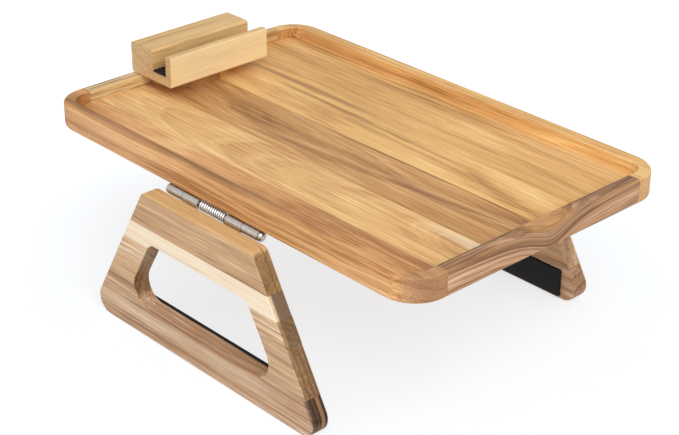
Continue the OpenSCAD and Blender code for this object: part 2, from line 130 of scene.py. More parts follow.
class Graph:
    """A node tree with short ways to add nodes to it."""

    def __init__(self, tree: bpy.types.NodeTree) -> None:
        """Starts from the given tree, emptied."""
        self.tree = tree
        tree.nodes.clear()

    def node(self, kind: str, inputs: dict[Any, Any] | None = None, **settings: Any) -> Node:
        """Adds one node.

        Args:
            kind: the node's type without the ShaderNode prefix, or a full name.
            inputs: socket name or number to a constant or to the socket that feeds it.
            settings: properties of the node.

        Returns:
            The new node.
        """
        made = self.tree.nodes.new(kind if kind.startswith("Node") else f"ShaderNode{kind}")
        for key, value in settings.items():
            setattr(made, key, value)
        for key, value in (inputs or {}).items():
            self.feed(made.inputs[key], value)
        return made

    def feed(self, socket: Socket, value: Any) -> None:
        """Feeds one socket.

        Args:
            socket: the input.
            value: the socket that is linked to it, or a constant.
        """
        if isinstance(value, Socket):
            self.tree.links.new(value, socket)
        elif socket.type == "RGBA":
            socket.default_value = (*value[:3], 1.0)
        else:
            socket.default_value = value

    def math(self, operation: str, *values: Any) -> Socket:
        """Adds a Math node and returns its result's socket."""
        return self.node("Math", dict(enumerate(values)), operation=operation).outputs[0]

    def off(self, value: Any, centre: Any) -> Socket:
        """Adds a difference, value less centre."""
        return self.math("SUBTRACT", value, centre)

    def times(self, a: Any, b: Any) -> Socket:
        """Adds a product of two numbers."""
        return self.math("MULTIPLY", a, b)

    def vector(self, operation: str, *values: Any) -> Socket:
        """Adds a Vector Math node and returns its vector's socket."""
        return self.node("VectorMath", dict(enumerate(values)), operation=operation).outputs[0]

    def scale(self, vector: Any, factor: Any) -> Socket:
        """Adds a vector times a number and returns the vector's socket."""
        return self.node("VectorMath", {0: vector, "Scale": factor}, operation="SCALE").outputs[0]

    def dot(self, a: Any, b: Any) -> Socket:
        """Adds the dot product of two vectors and returns the number's socket."""
        return self.node("VectorMath", {0: a, 1: b}, operation="DOT_PRODUCT").outputs["Value"]

    def length(self, vector: Any) -> Socket:
        """Adds a vector's length."""
        return self.node("VectorMath", {0: vector}, operation="LENGTH").outputs["Value"]

    def along(self, place: Any) -> Socket:
        """Adds a place's X, which is the way along the grain."""
        return self.node("SeparateXYZ", {0: place}).outputs[0]

    def combine(self, x: Any, y: Any, z: Any) -> Socket:
        """Adds a vector made of three numbers."""
        return self.node("CombineXYZ", {0: x, 1: y, 2: z}).outputs[0]

    def smooth(self, value: Any, low: Any, high: Any, start: Any = 0.0, end: Any = 1.0) -> Socket:
        """Adds a smooth step of value, from start at low to end at high."""
        inputs = dict(enumerate((value, low, high, start, end)))
        return self.node("MapRange", inputs, interpolation_type="SMOOTHSTEP").outputs[0]

    def noise(self, where: Any, detail: float = 2.0, roughness: float = 0.5) -> Socket:
        """Adds noise of about one swing per unit of where, from 0 to 1."""
        inputs = {"Vector": where, "Scale": 1.0, "Detail": detail, "Roughness": roughness}
        return self.node("TexNoise", inputs).outputs["Fac"]

    def drawn_noise(self, place: Any, rates: Any, detail: float, roughness: float) -> Socket:
        """Adds noise with its own swings per millimetre along each axis."""
        return self.noise(self.vector("MULTIPLY", place, rates), detail, roughness)

    def mix(self, factor: Any, a: Any, b: Any, blend: str = "MIX") -> Socket:
        """Adds a colour mix.

        Args:
            factor: the share of b.
            a: the colour under it.
            b: the colour on top.
            blend: how b goes on.

        Returns:
            The colour's socket.
        """
        made = self.node("Mix", data_type="RGBA", blend_type=blend)
        for number, value in ((0, factor), (6, a), (7, b)):
            self.feed(made.inputs[number], value)
        return made.outputs[2]

    def group(self, tree: bpy.types.NodeTree, inputs: dict[str, Any], finish: Any = None) -> Node:
        """Adds a node group.

        Args:
            tree: the group.
            inputs: socket name to a constant or to the socket that feeds it.
            finish: a finish whose fields feed the sockets of the same names.

        Returns:
            The new node.
        """
        made = self.node("Group", node_tree=tree)
        fields = vars(finish).items() if finish else ()
        values = {key.replace("_", " ").title(): value for key, value in fields} | inputs
        for socket in made.inputs:
            if socket.name in values:
                self.feed(socket, values[socket.name])
        return made

    def bump(self, shader: Node, height: Socket, strength: float, depth: float) -> None:
        """Feeds a shader's normal from a height, where depth is in metres."""
        inputs = {"Strength": strength, "Distance": depth, "Height": height}
        self.feed(shader.inputs["Normal"], self.node("Bump", inputs).outputs[0])

    def give(self, **results: Socket) -> bpy.types.NodeTree:
        """Makes the results the outputs of a group.

        Args:
            results: what the group gives, by each output's name.

        Returns:
            The group.
        """
        for key, value in results.items():
            kind = {"RGBA": "Color", "VECTOR": "Vector"}.get(value.type, "Float")
            self.tree.interface.new_socket(key, in_out="OUTPUT", socket_type=f"NodeSocket{kind}")
        self.node("NodeGroupOutput", results)
        return self.tree


def start_group(name: str, inputs: dict[str, Any]) -> tuple[Graph, dict[str, Socket]]:
    """Starts a shader node group.

    Args:
        name: the group's name.
        inputs: each input's name to its default: a number, a vector or a colour with opacity.

    Returns:
        The group's graph and its input sockets by name.
    """
    tree = bpy.data.node_groups.new(name, "ShaderNodeTree")
    for key, default in inputs.items():
        size = len(default) if isinstance(default, tuple) else 1
        kind = "NodeSocket" + {1: "Float", 3: "Vector", 4: "Color"}[size]
        tree.interface.new_socket(key, in_out="INPUT", socket_type=kind).default_value = default
    graph = Graph(tree)
    return graph, {s.name: s for s in graph.node("NodeGroupInput").outputs if s.name}


class Effects:
    """The effects that more than one finish uses, each a node group that is built once."""

    def __init__(self) -> None:
        """Builds every group."""
        self.bow = self._bowed_grain()
        self.figure = self._timber_figure()
        self.stripe = self._timber_stripe()
        self.seam = self._glue_seam()
        self.steel = self._drawn_steel()
        self.rubber = self._pebbled_rubber()

    @staticmethod
    def _bowed_grain() -> bpy.types.NodeTree:
        """Grain that leaves its line at one place and comes back, as it does beside a knot.

        With t the way along the grain from At over Reach, the place is moved by Offset times
        t^2 / (1 + t^2).

        Returns:
            The group.
        """
        inputs = {"Position": ORIGIN, "Offset": ORIGIN, "At": 0.0, "Reach": 30.0}
        g, i = start_group("bowed_grain", inputs)
        t = g.math("DIVIDE", g.off(g.along(i["Position"]), i["At"]), i["Reach"])
        square = g.times(t, t)
        share = g.math("DIVIDE", square, g.math("ADD", square, 1.0))
        return g.give(Position=g.vector("ADD", i["Position"], g.scale(i["Offset"], share)))

    @staticmethod
    def _timber_figure() -> bpy.types.NodeTree:
        """Solid timber: growth rings round a pith line that may lie aslant, bands and fibres.

        A point's place in the tree is its distance r from the pith line, after a slow wander is
        added to it. Rings are the fraction of r over the ring width, bands and lines are noise
        that changes quickly with r and slowly along the grain, and fibres, pores, flecks and
        clouds are noise drawn out along the grain.

        Returns:
            The group.
        """
        inputs = {
            "Position": ORIGIN, "Pith": (0.0, 0.0, -40.0), "Slant": ORIGIN, "Ring Width": 4.0,
            "Wander": 6.0, "Seed": 0.0, "Band": 0.5, "Line": 0.3, "Ring": 0.25, "Cloud": 0.8,
            "Dark": (0.2, 0.1, 0.05, 1.0), "Mid": (0.4, 0.25, 0.12, 1.0),
            "Pale": (0.6, 0.4, 0.2, 1.0), "End Grain": 0.0, "End Tone": (0.70, 0.63, 0.57, 1.0),
        }
        g, i = start_group("timber_figure", inputs)
        place, seed = i["Position"], i["Seed"]

        # The place in this board's own tree, and its distance from the pith.
        own = g.vector("ADD", place, g.scale((137.0, 59.0, 83.0), seed))
        slow = {"Vector": g.vector("MULTIPLY", own, (0.0065, 0.022, 0.022)), "Scale": 1.0}
        wobble = g.node("TexNoise", {**slow, "Detail": 2.0, "Roughness": 0.45}).outputs["Color"]
        centred = g.vector("SUBTRACT", wobble, (0.5, 0.5, 0.5))
        wander = g.scale(centred, g.times(i["Wander"], 2.0))
        pith = g.vector("ADD", i["Pith"], g.scale(i["Slant"], g.along(place)))
        arm = g.vector("SUBTRACT", g.vector("ADD", place, wander), pith)
        radius = g.length(g.vector("MULTIPLY", arm, (0.0, 1.0, 1.0)))

        def layered(length_rate: float, ring_rate: float, detail: float, rough: float) -> Socket:
            """Noise that follows the rings, with its swings per mm along and out from the pith."""
            way = g.times(g.along(own), length_rate)
            return g.noise(g.combine(way, g.times(radius, ring_rate), seed), detail, rough)

        band = layered(0.0035, 0.11, 3.0, 0.55)
        line = layered(0.007, 0.55, 4.0, 0.68)
        uneven = g.math("MULTIPLY_ADD", band, 1.6, g.math("DIVIDE", radius, i["Ring Width"]))
        turn, count = g.math("FRACT", uneven), g.math("FLOOR", uneven)
        chance = g.node("TexWhiteNoise", {"W": count}, noise_dimensions="1D").outputs["Value"]
        ring = g.times(g.smooth(turn, 0.35, 0.93), g.smooth(turn, 0.93, 1.0, 1.0, 0.0))
        ring = g.times(ring, g.math("MULTIPLY_ADD", chance, 0.75, 0.25))
        fibre = g.drawn_noise(own, (0.006, 0.42, 0.42), 4.0, 0.75)
        pore = g.drawn_noise(own, (0.035, 1.25, 1.25), 1.0, 0.5)
        fleck = g.smooth(g.drawn_noise(own, (0.03, 1.0, 1.0), 2.0, 0.6), 0.58, 0.70)
        cloud = g.drawn_noise(own, (0.009, 0.045, 0.045), 2.0, 0.5)

        # The tone, from 0 at the darkest to 1 at the palest.
        tone = 0.5
        weights = (
            (band, g.times(i["Band"], 3.2)), (line, g.times(i["Line"], 3.4)),
            (fibre, 1.5), (cloud, i["Cloud"]), (pore, 0.9),
        )
        for part, weight in weights:
            tone = g.math("MULTIPLY_ADD", g.off(part, 0.5), weight, tone)
        tone = g.off(g.off(tone, g.times(ring, i["Ring"])), g.times(fleck, 0.14))
        low = g.mix(g.smooth(tone, 0.0, 0.5), i["Dark"], i["Mid"])
        colour = g.mix(g.smooth(tone, 0.5, 1.0), low, i["Pale"])
        burnt = g.mix(1.0, colour, i["End Tone"], "MULTIPLY")
        rough = g.math("MULTIPLY_ADD", fleck, 0.10, g.math("MULTIPLY_ADD", fibre, 0.12, 0.46))
        height = g.off(g.times(fibre, 0.6), g.times(fleck, 0.5))
        colour = g.mix(i["End Grain"], colour, burnt)
        return g.give(Color=colour, Height=height, Roughness=rough)

    @staticmethod
    def _timber_stripe() -> bpy.types.NodeTree:
        """A long soft stripe in timber, such as sapwood or a dark growth line.

        The stripe's middle is at Centre + Slope times the distance along the grain, measured
        along Across, plus a wander; it fades out over Softness at its sides and over Fade at
        its two ends.

        Returns:
            The group.
        """
        inputs = {
            "Position": ORIGIN, "Across": Y_ALONG, "Centre": 0.0, "Half Width": 2.0,
            "Softness": 1.0, "Slope": 0.0, "Start": -200.0, "Stop": 200.0, "Fade": 30.0,
            "Wander": 1.0, "Seed": 0.0,
        }
        # Besides sapwood and growth lines, some stripes are painted light and painted shade, laid
        # on one face or along an edge.
        g, i = start_group("timber_stripe", inputs)
        x = g.along(i["Position"])
        side = g.dot(i["Position"], i["Across"])
        sway_at = g.combine(g.times(x, 0.016), g.times(side, 0.03), i["Seed"])
        sway = g.times(g.off(g.noise(sway_at, 3.0, 0.6), 0.5), i["Wander"])
        straight = g.math("MULTIPLY_ADD", x, i["Slope"], i["Centre"])
        middle = g.math("MULTIPLY_ADD", sway, 2.0, straight)
        away = g.math("ABSOLUTE", g.off(side, middle))
        streak_at = g.combine(g.times(x, 0.02), g.times(side, 0.9), i["Seed"])
        streak = g.off(g.noise(streak_at, 2.0, 0.6), 0.5)
        frayed = g.math("MULTIPLY_ADD", streak, i["Softness"], away)
        edge = g.math("ADD", i["Half Width"], i["Softness"])
        body = g.smooth(frayed, i["Half Width"], edge, 1.0, 0.0)
        start = g.smooth(x, i["Start"], g.math("ADD", i["Start"], i["Fade"]))
        stop = g.smooth(x, g.off(i["Stop"], i["Fade"]), i["Stop"], 1.0, 0.0)
        return g.give(Mask=g.times(body, g.times(start, stop)))

    @staticmethod
    def _glue_seam() -> bpy.types.NodeTree:
        """Hairline of glue where a board meets its neighbours.

        The mask falls from 1 to 0 over Width, inwards from two planes square to Across.

        Returns:
            The group.
        """
        inputs = {"Position": ORIGIN, "Across": Y_ALONG, "Low": -10.0, "High": 10.0, "Width": 0.35}
        g, i = start_group("glue_seam", inputs)
        side = g.dot(i["Position"], i["Across"])
        near = g.math("MINIMUM", g.off(side, i["Low"]), g.off(i["High"], side))
        return g.give(Mask=g.smooth(near, 0.0, i["Width"], 1.0, 0.0))

    @staticmethod
    def _drawn_steel() -> bpy.types.NodeTree:
        """Drawn or rolled steel: fine lines and soft blotches in the gloss.

        The lines are noise with Stretch swings per millimetre, and the blotches a slow noise.

        Returns:
            The group.
        """
        inputs = {
            "Position": ORIGIN, "Stretch": (9.0, 0.8, 0.8), "Tint": (0.6, 0.6, 0.6, 1.0),
            "Gloss": 0.2,
        }
        g, i = start_group("drawn_steel", inputs)
        lines = g.drawn_noise(i["Position"], i["Stretch"], 2.0, 0.6)
        blotch = g.noise(g.scale(i["Position"], 0.35), 2.0, 0.5)
        shade = g.smooth(blotch, 0.3, 0.7, 0.92, 1.02)
        tinted = g.mix(1.0, i["Tint"], g.combine(shade, shade, shade), "MULTIPLY")
        blotched = g.math("MULTIPLY_ADD", blotch, 0.10, i["Gloss"])
        rough = g.math("MULTIPLY_ADD", lines, 0.10, blotched)
        return g.give(Color=tinted, Roughness=rough, Height=lines)

    @staticmethod
    def _pebbled_rubber() -> bpy.types.NodeTree:
        """Moulded rubber: closely packed pebbles and a little dust.

        A pebble's height falls smoothly with the distance to the middle of its Voronoi cell, of
        which there are Pebbles to the millimetre. The dust is a slow noise.

        Returns:
            The group.
        """
        inputs = {"Position": ORIGIN, "Pebbles": 1.2}
        g, i = start_group("pebbled_rubber", inputs)
        cell_at = {"Vector": g.scale(i["Position"], i["Pebbles"]), "Scale": 1.0}
        cell = g.node("TexVoronoi", cell_at, feature="F1").outputs["Distance"]
        dust = g.noise(g.scale(i["Position"], 0.07), 4.0, 0.6)
        return g.give(Height=g.smooth(cell, 0.0, 0.75, 1.0, 0.0), Dust=g.smooth(dust, 0.45, 0.75))


# Finishes

# Depths of the finest relief, in metres, and how dust lightens what it lies on.
PORE_DEPTH = 0.0002
LINE_DEPTH = 0.00005
DUST_GAIN = 1.4
DUST_LIGHT = 0.003


def new_material(name: str) -> tuple[Material, Graph, Node, Socket]:
    """Starts a material.

    Args:
        name: the material's name.

    Returns:
        The material, its graph, its Principled shader, and the place on the object in mm.
    """
    material = bpy.data.materials.new(name)
    material.use_nodes = True
    g = Graph(material.node_tree)
    shader = g.node("BsdfPrincipled")
    g.feed(g.node("OutputMaterial").inputs["Surface"], shader.outputs[0])
    place = g.scale(g.node("TexCoord").outputs["Object"], 1.0 / MM)
    return material, g, shader, place


@dataclass(frozen=True)
class Palette:
    """Three tones of one timber, from its darkest lines to its palest."""

    dark: Colour
    mid: Colour
    pale: Colour


@dataclass(frozen=True)
class Stripe:
    """One long stripe in a board, at centre + slope times the way along the grain."""

    centre: float
    half_width: float
    colour: Colour
    strength: float = 0.8
    softness: float = 2.0
    slope: float = 0.0
    start: float = -260.0
    stop: float = 260.0
    fade: float = 40.0
    wander: float = 1.5
    across: Point = Y_ALONG
    wood_share: float = 0.35

    def over(self, g: Graph, group: bpy.types.NodeTree, place: Socket, seed: float,
             colour: Socket) -> Socket:
        """Lays the stripe over a board's colour.

        Args:
            g: the board's graph.
            group: the stripes' node group.
            place: the place in the board's grain frame.
            seed: what its wander starts from.
            colour: the board's colour under it.

        Returns:
            The colour with the stripe.
        """
        mask = g.group(group, {"Position": place, "Seed": seed}, self).outputs["Mask"]
        tinted = g.mix(self.wood_share, self.colour, colour)
        return g.mix(g.times(mask, self.strength), colour, tinted)


@dataclass(frozen=True)
class Timber:
    """How one board was sawn and what shows in it. Pith and stripes are in its grain frame."""

    palette: Palette
    seed: float
    pith: Point = (0.0, 0.0, -60.0)
    slant: Point = ORIGIN
    ring_width: float = 4.0
    wander: float = 6.0
    band: float = 0.5
    line: float = 0.3
    ring: float = 0.25
    cloud: float = 0.8
    grain: Grain = Grain.ALONG_TRAY
    stripes: tuple[Stripe, ...] = ()
    bow: Point = ORIGIN
    bow_at: float = 0.0
    bow_reach: float = 30.0
    end_tone: Colour = (0.70, 0.63, 0.57)
    seam: tuple[Point, float, float] | None = None
    seam_strength: float = 0.45
    seam_tone: float = 0.5
    end_faces: tuple[float, float] = (0.55, 0.95)
    sheen: float = 0.25
    relief: float = 0.22

    def dress(self, name: str, effects: Effects) -> Material:
        """Makes the board's material.

        Args:
            name: the material's name.
            effects: the shared node groups.

        Returns:
            The material.
        """
        material, g, shader, place = new_material(name)
        turn = (0.0, 0.0, math.radians(self.grain.value))
        turned = g.node("Mapping", {"Vector": place, "Rotation": turn}).outputs[0]
        bow = {"Offset": self.bow, "At": self.bow_at, "Reach": self.bow_reach}
        turned = g.group(effects.bow, {"Position": turned, **bow}).outputs[0]
        normal = g.node("TexCoord").outputs["Normal"]
        facing = g.node("Mapping", {"Vector": normal, "Rotation": turn}).outputs[0]
        lengthwise = g.math("ABSOLUTE", g.dot(facing, X_ALONG))
        tones = {"Dark": self.palette.dark, "Mid": self.palette.mid, "Pale": self.palette.pale}
        ends = {"Position": turned, "End Grain": g.smooth(lengthwise, *self.end_faces)}
        figure = g.group(effects.figure, tones | ends, self)
        colour = figure.outputs["Color"]
        for number, stripe in enumerate(self.stripes):
            colour = stripe.over(g, effects.stripe, turned, self.seed + number + 0.5, colour)
        if self.seam:
            across, low, high = self.seam
            planes = {"Position": place, "Across": across, "Low": low, "High": high}
            glue = g.times(g.group(effects.seam, planes).outputs["Mask"], self.seam_strength)
            colour = g.mix(glue, colour, g.scale(colour, self.seam_tone))
        g.feed(shader.inputs["Base Color"], colour)
        g.feed(shader.inputs["Roughness"], figure.outputs["Roughness"])
        g.feed(shader.inputs["Specular IOR Level"], self.sheen)
        g.bump(shader, figure.outputs["Height"], self.relief, PORE_DEPTH)
        return material


@dataclass(frozen=True)
class Steel:
    """Bright plated or drawn metal."""

    tint: Colour
    gloss: float
    stretch: Point = (9.0, 0.8, 0.8)
    relief: float = 0.12

    def dress(self, name: str, effects: Effects) -> Material:
        """Makes the metal's material.

        Args:
            name: the material's name.
            effects: the shared node groups.

        Returns:
            The material.
        """
        material, g, shader, place = new_material(name)
        steel = g.group(effects.steel, {"Position": place}, self)
        g.feed(shader.inputs["Base Color"], steel.outputs["Color"])
        g.feed(shader.inputs["Roughness"], steel.outputs["Roughness"])
        g.feed(shader.inputs["Metallic"], 1.0)
        g.bump(shader, steel.outputs["Height"], self.relief, LINE_DEPTH)
        return material


@dataclass(frozen=True)
class Rubber:
    """Dark moulded rubber or nylon, with pebbles where it grips."""

    colour: Colour
    roughness: float
    pebbles: float
    relief: float
    sheen: float = 0.3
    dulling: float = 0.12

    def dress(self, name: str, effects: Effects) -> Material:
        """Makes the rubber's material.

        Args:
            name: the material's name.
            effects: the shared node groups.

        Returns:
            The material.
        """
        material, g, shader, place = new_material(name)
        skin = g.group(effects.rubber, {"Position": place}, self)
        dust = skin.outputs["Dust"]
        dusty = tuple(part * DUST_GAIN + DUST_LIGHT for part in self.colour)
        g.feed(shader.inputs["Base Color"], g.mix(dust, self.colour, dusty))
        rough = g.math("MULTIPLY_ADD", dust, self.dulling, self.roughness)
        g.feed(shader.inputs["Roughness"], rough)
        g.feed(shader.inputs["Specular IOR Level"], self.sheen)
        g.bump(shader, skin.outputs["Height"], self.relief, PORE_DEPTH)
        return material


def wear(piece: Piece, material: Material) -> Piece:
    """Gives a piece one material all over.

    Args:
        piece: the frame's node or a copy of one.
        material: its finish.

    Returns:
        The piece.
    """
    piece.data.materials.clear()
    piece.data.materials.append(material)
    return piece


# Surfaces

SHARP_ANGLE = math.radians(38)
FLAT_ANGLE = math.radians(0.5)
SAME_PLACE = 1e-6


@dataclass(frozen=True)
class Surface:
    """Points and faces of one closed surface, in millimetres."""

    points: np.ndarray
    faces: list[list[int]]

    @staticmethod
    def from_grid(grid: np.ndarray) -> Surface:
        """Closes a grid of rings: each row is a ring, and the first and last rows are capped.

        Seen from the last row, the rings run counterclockwise.

        Args:
            grid: points as rows, columns and three coordinates.

        Returns:
            The surface.
        """
        rows, cols = grid.shape[:2]
        row, col = np.meshgrid(np.arange(rows - 1), np.arange(cols), indexing="ij")
        here, there = row * cols + col, row * cols + (col + 1) % cols
        quads = np.stack([here, there, there + cols, here + cols], -1)
        caps = [list(range(cols))[::-1], list(range((rows - 1) * cols, rows * cols))]
        return Surface(grid.reshape(-1, 3), quads.reshape(-1, 4).tolist() + caps)

    def placed(self, axes: np.ndarray, origin: Sequence[float]) -> Surface:
        """The surface turned, or mirrored, and moved.

        Args:
            axes: where its own X, Y and Z point, as rows.
            origin: where its own origin goes.

        Returns:
            The surface, with its faces outwards.
        """
        upright = np.linalg.det(axes) > 0
        faces = self.faces if upright else [face[::-1] for face in self.faces]
        return Surface(self.points @ axes + np.asarray(origin), faces)

    def __add__(self, other: Surface) -> Surface:
        """Joins two surfaces into one.

        Args:
            other: the surface whose faces come last.

        Returns:
            Both together.
        """
        shift = len(self.points)
        moved = [[index + shift for index in face] for face in other.faces]
        return Surface(np.vstack([self.points, other.points]), self.faces + moved)

    def make(self, name: str, slot: str, material: Material, body: str = "") -> Piece:
        """Makes the piece as an object.

        Args:
            name: the piece's name.
            slot: the record's material slot that it would take its finish from; not used.
            material: its material.
            body: the frame's body that it rides on, if it rides on one alone.

        Returns:
            The object.
        """
        mesh = bpy.data.meshes.new(name)
        mesh.from_pydata((self.points * MM).tolist(), [], self.faces)
        mesh.update()
        mesh.shade_smooth()
        mesh.set_sharp_from_angle(angle=SHARP_ANGLE)
        mesh.materials.append(material)
        piece = bpy.data.objects.new(name, mesh)
        bpy.context.scene.collection.objects.link(piece)
        if body:
            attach(piece, body)
        return piece


@dataclass(frozen=True)
class EasedSlab:
    """A rectangular slab with rounded corners and rounded edges."""

    width: float
    height: float
    depth: float
    corner_r: float
    ease: float
    corner_steps: int = 6
    edge_steps: int = 5

    def surface(self) -> Surface:
        """The slab round the Z axis, from Z = 0 to its depth.

        Corner k of the outline has its centre at (+-(w/2 - r), +-(h/2 - r)), and its points are
        the centre plus r (cos a, sin a), for a from k 90 to (k + 1) 90 degrees. Ring j is the
        outline drawn in by e (1 - sin t) at the depth e (1 - cos t), for t from 0 to 90
        degrees, and the same from the other end.

        Returns:
            The surface.
        """
        quarter = np.linspace(0, 90, self.corner_steps + 1)
        angle = np.radians(np.concatenate([quarter + 90 * k for k in range(4)]))
        normal = np.stack([np.cos(angle), np.sin(angle)], -1)
        corner = np.repeat([[1, 1], [-1, 1], [-1, -1], [1, -1]], self.corner_steps + 1, axis=0)
        centre = corner * (np.array([self.width, self.height]) / 2 - self.corner_r)
        outline = centre + self.corner_r * normal
        t = np.linspace(0, math.pi / 2, self.edge_steps + 1)
        inset, level = self.ease * (1 - np.sin(t)), self.ease * (1 - np.cos(t))
        inset = np.concatenate([inset, inset[::-1]])
        level = np.concatenate([level, self.depth - level[::-1]])
        flat = outline[None] - inset[:, None, None] * normal[None]
        high = np.broadcast_to(level[:, None, None], flat.shape[:2] + (1,))
        return Surface.from_grid(np.concatenate([flat, high], -1))


@dataclass(frozen=True)
class TorsionSpring:
    """Round wire wound on a helix, with a straight end on each leaf of the hinge."""

    coil_r: float = 3.35
    wire_d: float = 1.3
    coils: int = 11
    span: float = 25.58
    end_lean: float = 27.0
    end_l: float = 5.5
    end_steps: int = 6
    tip_angles: tuple[float, ...] = (90.0, 65.0, 40.0, 15.0)
    tip_limit: float = 0.985
    turn_steps: int = 26
    wire_sides: int = 12

    def surface(self, axis: Point, side: Side) -> Surface:
        """The wire's surface, where rings of its own radius go along its middle line.

        At the share s of the winding the angle is a = a0 + A s, the middle line is at (L (s -
        1/2), R cos a, R sin a), and it heads along that place's slope. Each end goes straight
        on, and the wire's radius falls as sqrt(1 - t^2) over its last half thickness.

        Args:
            axis: the middle of the hinge's axis.
            side: the side of the tray that the hinge is on.

        Returns:
            The surface, wound as seen on that side.
        """
        half = self.wire_d / 2
        straight = self.end_l - half
        sweep = math.radians(360 * self.coils + 90 + 2 * self.end_lean)
        tip = straight + half * np.sin(np.radians(self.tip_angles))[::-1]
        run = np.concatenate([np.linspace(0, straight, self.end_steps), tip])
        still = len(run) - 1
        s = np.linspace(0, 1, int(sweep / (2 * math.pi) * self.turn_steps) + 1)
        beyond = np.concatenate([-run[:0:-1], np.zeros(len(s)), run[1:]])
        s = np.concatenate([np.zeros(still), s, np.ones(still)])
        a = math.radians(90 - self.end_lean) + sweep * s
        rise = np.full_like(s, self.span / (self.coil_r * sweep))
        slope = np.stack([rise, -np.sin(a), np.cos(a)], -1)
        heading = slope / np.linalg.norm(slope, axis=1, keepdims=True)
        out = np.stack([np.zeros_like(s), np.cos(a), np.sin(a)], -1)
        along = np.outer(self.span * (s - 0.5), X_ALONG)
        middle = along + self.coil_r * out + beyond[:, None] * heading
        over = np.clip((np.abs(beyond) - straight) / half, 0, self.tip_limit)
        girth = half * np.sqrt(1 - over**2)
        k = np.linspace(0, 2 * math.pi, self.wire_sides, endpoint=False)[None, :, None]
        ring = out[:, None] * np.cos(k) + np.cross(heading, out)[:, None] * np.sin(k)
        mirror = np.diag([1.0, -float(side.value), 1.0])
        grid = middle[:, None] + girth[:, None, None] * ring
        return Surface.from_grid(grid).placed(mirror, axis)


@dataclass(frozen=True)
class WoodScrew:
    """Countersunk screw with a cross recess and a wood thread."""

    head_d: float = 6.4
    head_edge: float = 0.15
    shank_d: float = 3.5
    length: float = 9.5
    core_d: float = 2.5
    pitch: float = 1.3
    run_in: float = 1.5
    recess_w: float = 0.95
    recess_r: float = 1.9
    recess_d: float = 1.3
    recess_soft: float = 0.12
    face_start: float = 0.05
    face_share: float = 1.08
    point_l: float = 0.2
    point_share: float = 0.06
    taper_share: float = 0.8
    sides: int = 48
    face_rings: int = 13
    shank_rings: int = 52

    def surface(self) -> Surface:
        """The screw, head down at Z = 0 and tip at Z = length.

        Each ring has a radius and a height. In the head's face the height falls by d (1 - (r /
        R)^2) where the point lies on the cross. On the shank the radius is that of the core
        plus a ridge that follows the fraction of z / pitch - angle / 360 degrees.

        Returns:
            The surface.
        """
        angle = np.linspace(0, 2 * math.pi, self.sides, endpoint=False)[None]
        round_ = np.ones_like(angle)
        face_r = self.recess_r * self.face_share
        face = np.linspace(self.face_start, face_r, self.face_rings)[:, None] * round_
        arm = face * np.minimum(np.abs(np.cos(angle)), np.abs(np.sin(angle)))
        on_cross = np.clip((self.recess_w / 2 - arm) / self.recess_soft + 0.5, 0, 1)
        sunk = self.recess_d * on_cross * np.clip(1 - (face / self.recess_r) ** 2, 0, 1)
        head_r, shank_r, core_r = self.head_d / 2, self.shank_d / 2, self.core_d / 2
        rim = np.array([[head_r - self.head_edge, 0.0], [head_r, self.head_edge]])
        neck_z = self.head_edge + head_r - shank_r
        z = np.linspace(neck_z, self.length - self.point_l, self.shank_rings)[:, None]
        taper_l = self.shank_d * self.taper_share
        taper = np.clip((self.length - z) / taper_l, self.point_share, 1)
        ridge = 1 - np.abs(2 * ((z / self.pitch - angle / (2 * math.pi)) % 1) - 1)
        start = np.clip((z - neck_z) / self.run_in, 0, 1)
        thread = core_r + (shank_r - core_r) * np.maximum(1 - start, start * ridge**2)
        radius = np.vstack([face, rim[:, :1] * round_, thread * taper])
        height = np.vstack([sunk, rim[:, 1:] * round_, z * round_])
        rings = [radius * np.cos(angle), radius * np.sin(angle), height]
        return Surface.from_grid(np.stack(rings, -1))


# Timbers


def tones(*parts: int) -> Palette:
    """A palette from the nine parts of its dark, middle and pale colours."""
    return Palette(*(srgb(*parts[start:start + 3]) for start in (0, 3, 6)))


OCHRE = tones(171, 114, 64, 216, 160, 103, 248, 198, 138)
HONEY = tones(193, 141, 85, 229, 182, 120, 255, 215, 152)
WALNUT = tones(147, 97, 53, 197, 146, 90, 228, 181, 122)
STRAW = tones(189, 136, 77, 236, 187, 118, 254, 215, 146)
MAIZE = tones(195, 144, 83, 227, 176, 109, 249, 202, 134)
AMBER = tones(176, 125, 68, 232, 180, 114, 255, 217, 149)
UMBER = tones(128, 86, 56, 188, 143, 106, 224, 178, 138)
OLIVE = tones(128, 96, 60, 224, 191, 137, 250, 230, 177)
ROSE = tones(157, 117, 84, 203, 160, 119, 238, 198, 154)
CREAM = tones(235, 208, 174, 252, 229, 198, 255, 244, 216)
BISCUIT = tones(170, 131, 95, 227, 190, 151, 255, 237, 203)
HAZEL = tones(160, 122, 88, 217, 178, 137, 250, 220, 181)
FAWN = tones(146, 108, 78, 197, 158, 120, 232, 200, 162)
CLAY = tones(149, 109, 78, 198, 158, 123, 244, 219, 194)
BEECH = tones(193, 153, 99, 229, 189, 131, 250, 215, 156)

SAP = srgb(250, 230, 196)
GOLDEN = srgb(228, 186, 132)
BROWN = srgb(158, 112, 68)
UMBRE = srgb(132, 88, 52)
ARC = srgb(108, 74, 46)
DARK_LINE = srgb(104, 70, 42)

